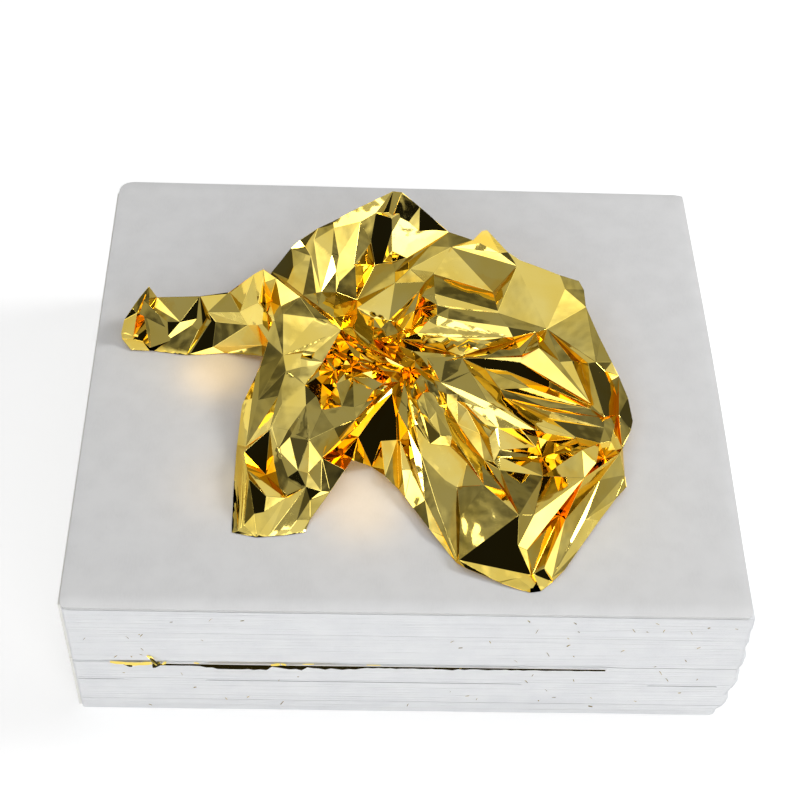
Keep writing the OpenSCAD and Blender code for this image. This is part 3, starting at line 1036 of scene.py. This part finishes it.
# Rings that the crinkles run between and the space between two crinkles, in photo pixels
GATHER_PLACE = (405, 372)
CRINKLE_RINGS = (5, 13, 22, 32, 44, 57, 72, 89, 108, 130, 155)
CRINKLE_SPACING = 3.0
# How far a crinkle stays from a crease in photo pixels, and how far off a crease is left unmeasured
CRINKLE_MARGIN = 1.1
CREASE_FAR = 2
# Height of a crinkle in mm, and how much of that one end may have
CRINKLE_HEIGHT = 0.36
CRINKLE_HEIGHT_SHARES = (0.4, 1.3)
# How far a crinkle's start and end lie inside their rings, and how far it turns aside, as shares of the space
CRINKLE_START = (0, 0.4)
CRINKLE_END = (0, 0.3)
CRINKLE_SHIFT = (-0.3, 0.3)
CRINKLE_SLANT = (-0.35, 0.35)
# Higher than the leaf above the page, in mm
OVER_LEAF = 90

RIM_TUCK = 5 * MM
RIM_TUCK_SHARE = 0.65
# Shares of the tuck that are tried until the rim fits under the leaf, and how far it falls on its way in
TUCK_SHARES = (1, 0.8, 0.6, 0.45, 0.3, 0.2, 0.1)
TUCK_FALL = 0.85
TUCK_CLEARANCE = 0.6 * MM
TUCK_LOOK = 60 * MM
LEAST_CLEARANCE = 0.3 * MM

FOLD_WIDTH = 0.2 * MM
FOLD_SEGMENTS = 2
SHARP_FOLD = math.radians(5)
CRUMPLED_SHARP = math.radians(50)
CRINKLED_SHARP = math.radians(12)
SMOOTH_EDGE = 1.4 * MM
MOST_CUTS = 7

# The slight bends of the facets: how deep and how wide
BEND_MM = 0.09
BEND_SIZE = 9 * MM
# The faint pleats that run out from the gathered middle: how many, how deep, and how far out they are deepest
GATHER = above_page(*GATHER_PLACE, 11)
PLEATS = 5
PLEAT_MM = 0.09
PLEAT_STRETCH = 0.7
FINE_PLEATS = 2.6
FINE_PLEAT_MM = 0.022
FINE_PLEAT_SEED = 9
PLEAT_FADE = 15 * MM

# Directions looked in from each point: azimuth and elevation over the surface
CLOSENESS_LOOKS = (
    (0, 60), (120, 60), (240, 60), (0, 25), (60, 25), (120, 25), (180, 25), (240, 25), (300, 25),
)
CLOSENESS_REACH = 9 * MM
CLOSENESS_START_MM = 0.15


def on_plane(place, through, tilt, facing):
    """Height in mm above the page of a place of the photograph, in a tilted plane through a known point."""
    normal = direction(facing, 90 - tilt)
    ray = above_page(*place, 0) - CAMERA_PLACE
    share = normal.dot(above_page(*through) - CAMERA_PLACE) / normal.dot(ray)
    return ((CAMERA_PLACE + ray * share).z - PAGE_TOP) / MM


def fold_network():
    """Points with their heights, the creases between them, and the leaf's visible outline."""
    heights = {}
    numbers = {}
    creases = []
    for line in FOLDS.values():
        for point in line:
            numbers.setdefault(point[:2], len(numbers))
            if len(point) == 3:
                heights[point[:2]] = point[2]
        creases += [(numbers[a[:2]], numbers[b[:2]]) for a, b in zip(line, line[1:])]
    for corner, tilt, facing, places in TILTED_FACETS:
        for place in places:
            heights.setdefault(place, on_plane(place, (*corner, heights[corner]), tilt, facing))
    outline = []
    for name in RIM:
        line = [point[:2] for point in FOLDS[name]]
        if name in REVERSED_RIM:
            line.reverse()
        outline += line[:-1]
    return numbers, heights, creases, [numbers[place] for place in outline]


def split_flat(flat, creases, outline):
    """The points and facets between the creases, and which of the given points each point is."""
    points, _, facets, sources, _, _ = delaunay_2d_cdt(flat, creases, [outline], KEEP_INSIDE, SAME_PLACE)
    return points, facets, [source[0] for source in sources]


def nearness(point):
    """1 where the leaf is gathered or crinkled, falling to 0 away from there."""
    near = 0.0
    for x, y, reach in CRINKLED_PLACES:
        away = ((point.x - x) ** 2 + (point.y - y) ** 2) / reach ** 2
        if away < 4:
            near = max(near, math.exp(-away * math.sqrt(away)))
    return near


def clear_of_creases(first, last, lines):
    """Whether a crinkle neither crosses a crease nor comes close to one."""
    low_x, high_x = sorted((first.x, last.x))
    low_y, high_y = sorted((first.y, last.y))
    for start, end in lines:
        if max(start.x, end.x) < low_x - CREASE_FAR or min(start.x, end.x) > high_x + CREASE_FAR:
            continue
        if max(start.y, end.y) < low_y - CREASE_FAR or min(start.y, end.y) > high_y + CREASE_FAR:
            continue
        if intersect_line_line_2d(first, last, start, end):
            return False
        for point in (first, last):
            share = min(1, max(0, (point - start).dot(end - start) / (end - start).length_squared))
            if (start.lerp(end, share) - point).length < CRINKLE_MARGIN:
                return False
    return True


def add_crinkles(flat, heights, creases, facets):
    """Adds short sharp folds that run outwards from the gathered middle.

    flat holds places of the photograph as column and -row, and heights their heights in mm.
    """
    rng = random.Random(11)
    surface = BVHTree.FromPolygons([(*place, height) for place, height in zip(flat, heights)], facets)
    lines = [(flat[first], flat[last]) for first, last in creases]
    middle = Vector((GATHER_PLACE[0], -GATHER_PLACE[1]))
    for inner, outer in zip(CRINKLE_RINGS, CRINKLE_RINGS[1:]):
        count = 2 * round(math.pi * (inner + outer) / 2 / CRINKLE_SPACING)
        for number in range(count):
            turn = (number + rng.uniform(*CRINKLE_SHIFT)) / count * math.tau
            side = 1 if number % 2 else -1
            start = inner + rng.uniform(*CRINKLE_START) * (outer - inner)
            end = outer - rng.uniform(*CRINKLE_END) * (outer - inner)
            ends = []
            for radius in (start, end):
                place = middle + Vector((math.cos(turn), math.sin(turn))) * radius
                turn += rng.uniform(*CRINKLE_SLANT) / count * math.tau
                below = surface.ray_cast(Vector((*place, OVER_LEAF)), Vector((0, 0, -1)))[0]
                if below is None:
                    break
                near = nearness(above_page(place.x, -place.y, below.z))
                if near < CRINKLE_NEARNESS:
                    break
                share = rng.uniform(*CRINKLE_HEIGHT_SHARES)
                ends.append((place, below.z + side * near * CRINKLE_HEIGHT * share))
            if len(ends) < 2 or not clear_of_creases(ends[0][0], ends[1][0], lines):
                continue
            creases.append((len(flat), len(flat) + 1))
            lines.append((ends[0][0], ends[1][0]))
            for place, height in ends:
                flat.append(place)
                heights.append(height)


def folded_surface():
    """The leaf as flat facets between its creases, and the places on the page that its points hide."""
    numbers, known_heights, creases, outline = fold_network()
    flat = [Vector((column, -row)) for column, row in numbers]
    heights = [known_heights[place] for place in numbers]
    _, facets, sources = split_flat(flat, creases, outline)
    add_crinkles(flat, heights, creases, [[sources[index] for index in facet] for facet in facets])
    points, facets, sources = split_flat(flat, creases, outline)
    bm = bmesh.new()
    for point, source in zip(points, sources):
        bm.verts.new(above_page(point.x, -point.y, heights[source]))
    bm.verts.ensure_lookup_table()
    for facet in facets:
        bm.faces.new([bm.verts[index] for index in facet])
    bm.normal_update()
    if sum(face.normal.z * face.calc_area() for face in bm.faces) < 0:
        bmesh.ops.reverse_faces(bm, faces=bm.faces[:])
    bm.verts.index_update()
    return bm, [above_page(point.x, -point.y, 0).to_2d() for point in points]


def cut_to_triangles(bm):
    bmesh.ops.triangulate(bm, faces=[face for face in bm.faces if len(face.verts) > 3])


def inward_sides(rim, shadows):
    """For each point of the rim, the direction on the page that leads in under the leaf."""
    inward = {}
    for edge in rim:
        corners = [shadows[vert.index] for vert in edge.link_faces[0].verts]
        middle = sum(corners, Vector((0, 0))) / len(corners)
        start = shadows[edge.verts[0].index]
        across = shadows[edge.verts[1].index] - start
        side = Vector((-across.y, across.x)).normalized()
        if side.dot(middle - start) < 0:
            side.negate()
        for vert in edge.verts:
            inward[vert.index] = inward.get(vert.index, Vector((0, 0))) + side
    return inward


def tuck_under(bm, shadows):
    """Folds the leaf's rim back under it, down towards the page.

    shadows are the places on the page that the points hide from the camera.
    """
    surface = BVHTree.FromBMesh(bm)
    rim = [edge for edge in bm.edges if edge.is_boundary]
    inward = inward_sides(rim, shadows)
    lowest = PAGE_TOP + LEAST_CLEARANCE
    places = {}
    for vert in {vert for edge in rim for vert in edge.verts}:
        rise = vert.co.z - PAGE_TOP
        side = inward[vert.index].normalized()
        wanted = RIM_TUCK + RIM_TUCK_SHARE * rise
        for share in TUCK_SHARES:
            spot = vert.co.to_2d() + side * wanted * share
            over = surface.ray_cast(Vector((spot.x, spot.y, PAGE_TOP + TUCK_LOOK)), Vector((0, 0, -1)))[0]
            ceiling = (over.z if over else vert.co.z) - TUCK_CLEARANCE
            level = max(lowest, PAGE_TOP + rise * (1 - TUCK_FALL * share))
            if level <= ceiling:
                break
        places[tuple(vert.co)] = Vector((spot.x, spot.y, max(lowest, min(level, ceiling))))
    made = bmesh.ops.extrude_edge_only(bm, edges=rim)
    for vert in verts_of(made):
        vert.co = places[tuple(vert.co)]
    cut_to_triangles(bm)


def fold_angle(edge):
    return edge.calc_face_angle() if len(edge.link_faces) == 2 else 0.0


def round_folds(bm):
    """Rounds each long fold, so that it catches the light as a fine line."""
    folds = []
    for edge in bm.edges:
        middle = (edge.verts[0].co + edge.verts[1].co) / 2
        if fold_angle(edge) > SHARP_FOLD and nearness(middle) < CRINKLE_NEARNESS:
            folds.append(edge)
    made = bmesh.ops.bevel(bm, geom=folds, offset=FOLD_WIDTH, offset_type="OFFSET", affect="EDGES",
                           segments=FOLD_SEGMENTS, profile=0.5, clamp_overlap=True, material=-1)
    # The border between a rounded strip and a flat facet stays sharp, so that the facet shades as flat
    strips = set(made["faces"])
    for edge in {edge for face in strips for edge in face.edges}:
        if any(face not in strips for face in edge.link_faces):
            edge.smooth = False
    cut_to_triangles(bm)


def refine(bm):
    """Cuts long edges until the facets can take their slight bends."""
    for _ in range(MOST_CUTS):
        long_edges = [edge for edge in bm.edges if edge.calc_length() > SMOOTH_EDGE]
        if not long_edges:
            break
        bmesh.ops.subdivide_edges(bm, edges=long_edges, cuts=1)
        cut_to_triangles(bm)


def bend_softly(bm):
    """Gives the flat facets the slight bends of thin leaf, and pleats that run out from the middle."""
    bm.normal_update()
    moves = []
    for vert in bm.verts:
        away = (vert.co - GATHER).to_2d()
        run = math.log(1 + away.length / MM)
        outwards = away.normalized()
        pleat = noise.noise(Vector((*outwards * PLEATS, run * PLEAT_STRETCH)))
        fine_pleat = noise.noise(Vector((*outwards * FINE_PLEATS * PLEATS, run + FINE_PLEAT_SEED)))
        rise = BEND_MM * noise.noise(vert.co / BEND_SIZE)
        rise += min(1, away.length / PLEAT_FADE) * (PLEAT_MM * pleat + FINE_PLEAT_MM * fine_pleat)
        moves.append(vert.normal * rise * MM)
    for vert, move in zip(bm.verts, moves):
        vert.co += move
        vert.co.z = max(vert.co.z, PAGE_TOP + LEAST_CLEARANCE)


def mark_sharp_folds(bm):
    bm.normal_update()
    for edge in bm.edges:
        bent = fold_angle(edge)
        if bent > CRUMPLED_SHARP or bent > CRINKLED_SHARP and nearness(edge.verts[0].co) > SHARP_NEARNESS:
            edge.smooth = False


def mark_closeness(bm):
    """Stores at each point how much of the leaf lies close above it, 0 in the open and 1 deep in a fold. This
    sets the painted fold reflection in the gold.
    """
    layer = bm.verts.layers.float.new("painted_reflection_closeness")
    surface = BVHTree.FromBMesh(bm)
    looks = [direction(azimuth, elevation) for azimuth, elevation in CLOSENESS_LOOKS]
    for vert in bm.verts:
        up = vert.normal if vert.normal.z >= 0 else -vert.normal
        turn = Vector((0, 0, 1)).rotation_difference(up)
        start = vert.co + up * CLOSENESS_START_MM * MM
        hits = sum(surface.ray_cast(start, turn @ look, CLOSENESS_REACH)[0] is not None for look in looks)
        vert[layer] = hits / len(looks)


def add_crumpled_leaf(material):
    bm, shadows = folded_surface()
    tuck_under(bm, shadows)
    round_folds(bm)
    refine(bm)
    bend_softly(bm)
    mark_sharp_folds(bm)
    mark_closeness(bm)
    leaf = new_piece("crumpled_leaf", bm, material, "loose_leaf")
    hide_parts("loose_crumpled_leaf")
    return leaf


# Stage: floor, sky and lamps

FLOOR_SIDE = 6.0
FLOOR_COLOUR = (0.86, 0.86, 0.86, 1)
FLOOR_GLOW = 0.42
SKY_GREY = 0.40
SKY_RIM = 0.9
SKY_RIM_HEIGHT = 0.25
SKY_CLOUD_SIZE = 3.4
# Patches of the sky: azimuth, elevation, half angle in degrees, softness in degrees, brightness
SKY_PATCHES = (
    (180, 8, 34, 14, 2.8),
    (20, 78, 20, 10, 0.95),
    (10, 76, 5, 8, 2.0),
    (183, 48, 17, 6, 0.012),
    (57, 12, 14, 6, 0.07),
)
LAMP_DISTANCE = 0.9
# The lamps: azimuth, elevation and half angle in degrees, radiance
LAMPS = {
    "key_lamp": (78, 42, 10, 12),
    "left_lamp": (-97, 54, 8, 2.6),
    "top_lamp": (178, 70, 8, 2.6),
}
GLOW_COLOUR = (1.0, 0.58, 0.05)
# The glows beside the leaf: photo column, photo row, height above the page and radius in mm, radiance
GLOWS = {
    "arch_glow": (362, 490, 7, 9, 0.6),
    "arm_glow": (212, 358, 6, 8, 0.8),
    "left_lobe_glow": (215, 465, 9, 8, 0.3),
}


def add_lamp(name, azimuth, elevation, half_angle, radiance):
    """A round soft lamp that shows in the leaf as a white patch of that half angle."""
    radius = LAMP_DISTANCE * math.tan(math.radians(half_angle))
    light = bpy.data.lights.new(name, "AREA")
    light.shape = "ELLIPSE"
    light.size = 2 * radius
    light.size_y = 2 * radius
    light.energy = radiance * math.pi * math.pi * radius * radius
    lamp = new_object(name, light)
    towards = direction(azimuth, elevation)
    lamp.location = Vector((0, 0, PAGE_TOP)) + towards * LAMP_DISTANCE
    lamp.rotation_euler = towards.to_track_quat("Z", "Y").to_euler()


def add_glow(name, leaf, column, row, height_mm, radius_mm, radiance):
    """Warm light that the gold throws on the page round it. It moves with the leaf."""
    light = bpy.data.lights.new(name, "AREA")
    light.shape = "DISK"
    light.size = 2 * radius_mm * MM
    light.color = GLOW_COLOUR
    light.energy = radiance * (math.pi * radius_mm * MM) ** 2
    glow = new_object(name, light)
    glow.location = above_page(column, row, height_mm)
    glow.parent = leaf
    glow.visible_camera = False
    glow.visible_glossy = False


def add_floor():
    """A white floor that looks white to the camera and in the leaf, but throws little light of its own."""
    bm = bmesh.new()
    bmesh.ops.create_grid(bm, x_segments=1, y_segments=1, size=FLOOR_SIDE / 2)
    floor = new_object("floor", new_mesh("floor", bm))
    material, tree, shader = new_material("white_floor", roughness=0.9, specular=0.1)
    shader.inputs["Base Color"].default_value = FLOOR_COLOUR
    shader.inputs["Emission Color"].default_value = (1, 1, 1, 1)
    rays = add_node(tree, "ShaderNodeLightPath")
    seen = add_node(tree, "ShaderNodeMath", operation="MAXIMUM")
    tree.links.new(rays.outputs["Is Camera Ray"], seen.inputs[0])
    tree.links.new(rays.outputs["Is Glossy Ray"], seen.inputs[1])
    glow = spread(tree, seen.outputs[0], low=0, high=1, to_high=FLOOR_GLOW)
    tree.links.new(glow, shader.inputs["Emission Strength"])
    floor.data.materials.append(material)


def add_sky():
    """A cloudy grey studio with a pale horizon and patches that the leaf mirrors. The camera sees white."""
    world = bpy.data.worlds.new("studio")
    bpy.context.scene.world = world
    world.use_nodes = True
    tree = world.node_tree
    tree.nodes.clear()
    place = add_node(tree, "ShaderNodeTexCoord").outputs["Generated"]
    parts = add_node(tree, "ShaderNodeSeparateXYZ", Vector=place)
    clouds = add_node(tree, "ShaderNodeTexNoise", Vector=place, Scale=SKY_CLOUD_SIZE, Detail=1.0)
    uneven = spread(tree, clouds.outputs["Fac"], low=0.37, high=0.63, to_low=0.25, to_high=1.8)
    grey = spread(tree, uneven, low=0, high=1, to_high=SKY_GREY)
    rim = spread(tree, parts.outputs["Z"], low=0.0, high=SKY_RIM_HEIGHT, to_low=1, to_high=0)
    level = blend_values(tree, rim, grey, SKY_RIM)
    for azimuth, elevation, half_angle, softness, brightness in SKY_PATCHES:
        towards = add_node(tree, "ShaderNodeVectorMath", operation="DOT_PRODUCT")
        tree.links.new(place, towards.inputs[0])
        towards.inputs[1].default_value = direction(azimuth, elevation)
        outer = math.cos(math.radians(half_angle + softness))
        inner = math.cos(math.radians(half_angle))
        inside = spread(tree, towards.outputs["Value"], low=outer, high=inner)
        level = blend_values(tree, inside, level, brightness)
    rays = add_node(tree, "ShaderNodeLightPath")
    seen = blend_values(tree, rays.outputs["Is Camera Ray"], level, 1.0)
    background = tree.nodes.new("ShaderNodeBackground")
    tree.links.new(seen, background.inputs["Strength"])
    output = tree.nodes.new("ShaderNodeOutputWorld")
    tree.links.new(background.outputs[0], output.inputs[0])


# Putting it together

PAGE_LIGHT = (0.88, 0.89, 0.90)
PAGE_SHADE = (0.83, 0.84, 0.86)
# The top pages take a darker copy of the same tissue: painted shade that makes the top read greyer than the
# page edges
PAINTED_SHADE_TOP_PAGE_LIGHT = (0.77, 0.77, 0.77)
PAINTED_SHADE_TOP_PAGE_SHADE = (0.725, 0.725, 0.725)


def build():
    bpy.context.scene.view_settings.view_transform = "Standard"
    add_camera()
    add_floor()
    add_sky()
    for name, lamp in LAMPS.items():
        add_lamp(name, *lamp)
    page_paper = tissue("page_tissue", light=PAGE_LIGHT, shade=PAGE_SHADE)
    # Painted shade: the top pages get the darker copy of the tissue
    sheet_paper_painted_shade = tissue("turning_page_tissue", light=PAINTED_SHADE_TOP_PAGE_LIGHT, shade=PAINTED_SHADE_TOP_PAGE_SHADE)
    glue = dried_glue()
    flat_gold = leaf_metal("gold_leaf", roughness=0.12, waviness=0.09 * MM)
    dusty_gold = leaf_metal("dusty_leaf", roughness=0.3, waviness=0.1 * MM, worn=0.5)
    # The crumpled leaf's gold carries a painted fold reflection, deep orange where leaf lies close above
    crumpled_gold_painted_folds = leaf_metal("crumpled_gold_leaf_painted_reflection", roughness=0.04, waviness=0.07 * MM, paint_fold_reflection=True)
    blank = page_blank()
    for booklet in range(1, BOOKLETS + 1):
        add_page_block(booklet, blank, page_paper)
        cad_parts[f"booklet_{booklet}_spine_glue"].material_slots[0].material = glue
        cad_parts[f"booklet_{booklet}_leaves"].material_slots[0].material = flat_gold
        add_specks(booklet, dusty_gold)
        if any(scrap[0] == booklet for scrap in SCRAPS):
            add_scraps(booklet, flat_gold)
    add_slipped_leaf(flat_gold)
    # The leaf under a page lies on the page below it, and the lowest one on the first booklet
    for number in range(TURNING_PAGES, 0, -1):
        body = f"page_{number + 1}" if number < TURNING_PAGES else "booklet_1"
        add_leaf_below(number, flat_gold, body)
    for number in range(TURNING_PAGES, 0, -1):
        add_turning_page(number, sheet_paper_painted_shade)
    leaf = add_crumpled_leaf(crumpled_gold_painted_folds)
    for name, glow in GLOWS.items():
        add_glow(name, leaf, *glow)


build()
